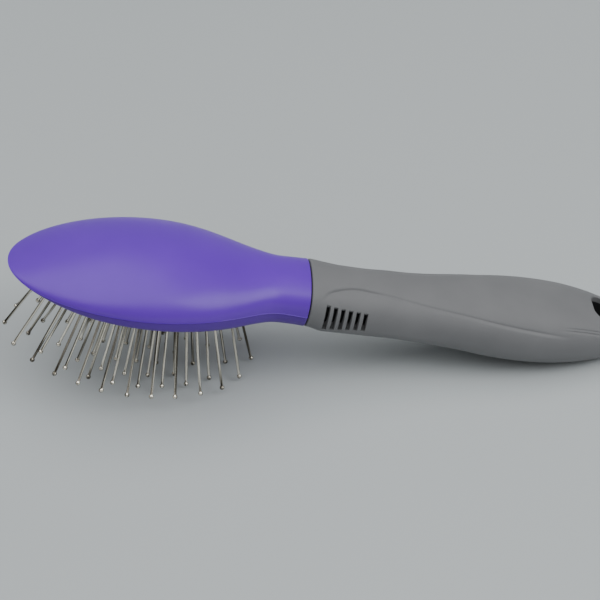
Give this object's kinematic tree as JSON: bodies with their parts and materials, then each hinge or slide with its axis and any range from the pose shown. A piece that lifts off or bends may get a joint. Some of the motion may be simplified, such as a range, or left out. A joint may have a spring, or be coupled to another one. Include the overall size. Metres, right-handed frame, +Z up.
{
  "type": "pin brush for pets",
  "caption": "Oval-headed pet pin brush: ball-tipped wire pins in a rubber air cushion, two-piece moulded head, and a soft-grip handle with a hanging hole.",
  "frame": {"origin": "on the table, below the middle of the brush's box, as the brush lies on its pin tips and the heel of its grip", "axes": "+X from the tip of the head to the end of the grip, +Y to the right-hand side of the head, +Z up through the domed back"},
  "size_m": [0.2414, 0.0566, 0.0592],
  "materials": {
    "shell_plastic": "satin violet moulding",
    "frame_plastic": "satin violet moulding",
    "cushion_rubber": "soft matte rubber",
    "core_plastic": "matte black moulding",
    "grip_rubber": "soft matte elastomer",
    "pin_steel": "drawn nickel-plated wire"
  },
  "bodies": {
    "root": {"back_shell": "shell_plastic", "front_frame": "frame_plastic", "handle_core": "core_plastic", "grip_sleeve": "grip_rubber"},
    "cushion": {"cushion_pad": "cushion_rubber"},
    "centre_row": {"centre_pins": "pin_steel", "outer_pin_01": "pin_steel", "outer_pin_13": "pin_steel", "middle_pin_01": "pin_steel", "middle_pin_10": "pin_steel", "inner_pin_01": "pin_steel", "inner_pin_07": "pin_steel"},
    "inner_row_left": {"outer_pin_14": "pin_steel", "outer_pin_24": "pin_steel", "middle_pin_11": "pin_steel", "middle_pin_18": "pin_steel", "inner_pin_08": "pin_steel", "inner_pin_09": "pin_steel", "inner_pin_10": "pin_steel", "inner_pin_11": "pin_steel", "inner_pin_12": "pin_steel"},
    "inner_row_right": {"outer_pin_02": "pin_steel", "outer_pin_12": "pin_steel", "middle_pin_02": "pin_steel", "middle_pin_09": "pin_steel", "inner_pin_02": "pin_steel", "inner_pin_03": "pin_steel", "inner_pin_04": "pin_steel", "inner_pin_05": "pin_steel", "inner_pin_06": "pin_steel"},
    "middle_row_left": {"outer_pin_15": "pin_steel", "outer_pin_23": "pin_steel", "middle_pin_12": "pin_steel", "middle_pin_13": "pin_steel", "middle_pin_14": "pin_steel", "middle_pin_15": "pin_steel", "middle_pin_16": "pin_steel", "middle_pin_17": "pin_steel"},
    "middle_row_right": {"outer_pin_03": "pin_steel", "outer_pin_11": "pin_steel", "middle_pin_03": "pin_steel", "middle_pin_04": "pin_steel", "middle_pin_05": "pin_steel", "middle_pin_06": "pin_steel", "middle_pin_07": "pin_steel", "middle_pin_08": "pin_steel"},
    "outer_row_left": {"outer_pin_16": "pin_steel", "outer_pin_17": "pin_steel", "outer_pin_18": "pin_steel", "outer_pin_19": "pin_steel", "outer_pin_20": "pin_steel", "outer_pin_21": "pin_steel", "outer_pin_22": "pin_steel"},
    "outer_row_right": {"outer_pin_04": "pin_steel", "outer_pin_05": "pin_steel", "outer_pin_06": "pin_steel", "outer_pin_07": "pin_steel", "outer_pin_08": "pin_steel", "outer_pin_09": "pin_steel", "outer_pin_10": "pin_steel"}
  },
  "joints": [
    {"name": "cushion_press", "type": "slide", "parent": "root", "child": "cushion", "axis": [0.249, 0, 0.9685], "range_m": [0, 0.003], "stiffness_N_per_m": 5000, "deforming": ["cushion_pad"]},
    {"name": "centre_row_tilt", "type": "hinge", "parent": "cushion", "child": "centre_row", "pos_m": [-0.06938, 0, 0.03487], "axis": [0.9685, 0, -0.249], "range_deg": [-10, 10], "stiffness_Nm_per_rad": 0.7},
    {"name": "inner_row_left_tilt", "type": "hinge", "parent": "cushion", "child": "inner_row_left", "pos_m": [-0.06943, -0.00477, 0.03467], "axis": [0.9685, 0, -0.249], "range_deg": [-10, 10], "stiffness_Nm_per_rad": 0.63},
    {"name": "inner_row_right_tilt", "type": "hinge", "parent": "cushion", "child": "inner_row_right", "pos_m": [-0.06943, 0.00477, 0.03467], "axis": [0.9685, 0, -0.249], "range_deg": [-10, 10], "stiffness_Nm_per_rad": 0.63},
    {"name": "middle_row_left_tilt", "type": "hinge", "parent": "cushion", "child": "middle_row_left", "pos_m": [-0.06941, -0.00894, 0.03474], "axis": [0.9685, 0, -0.249], "range_deg": [-10, 10], "stiffness_Nm_per_rad": 0.56},
    {"name": "middle_row_right_tilt", "type": "hinge", "parent": "cushion", "child": "middle_row_right", "pos_m": [-0.06941, 0.00894, 0.03474], "axis": [0.9685, 0, -0.249], "range_deg": [-10, 10], "stiffness_Nm_per_rad": 0.56},
    {"name": "outer_row_left_tilt", "type": "hinge", "parent": "cushion", "child": "outer_row_left", "pos_m": [-0.06917, -0.01363, 0.03569], "axis": [0.9685, 0, -0.249], "range_deg": [-10, 10], "stiffness_Nm_per_rad": 0.49},
    {"name": "outer_row_right_tilt", "type": "hinge", "parent": "cushion", "child": "outer_row_right", "pos_m": [-0.06917, 0.01363, 0.03569], "axis": [0.9685, 0, -0.249], "range_deg": [-10, 10], "stiffness_Nm_per_rad": 0.49}
  ]
}
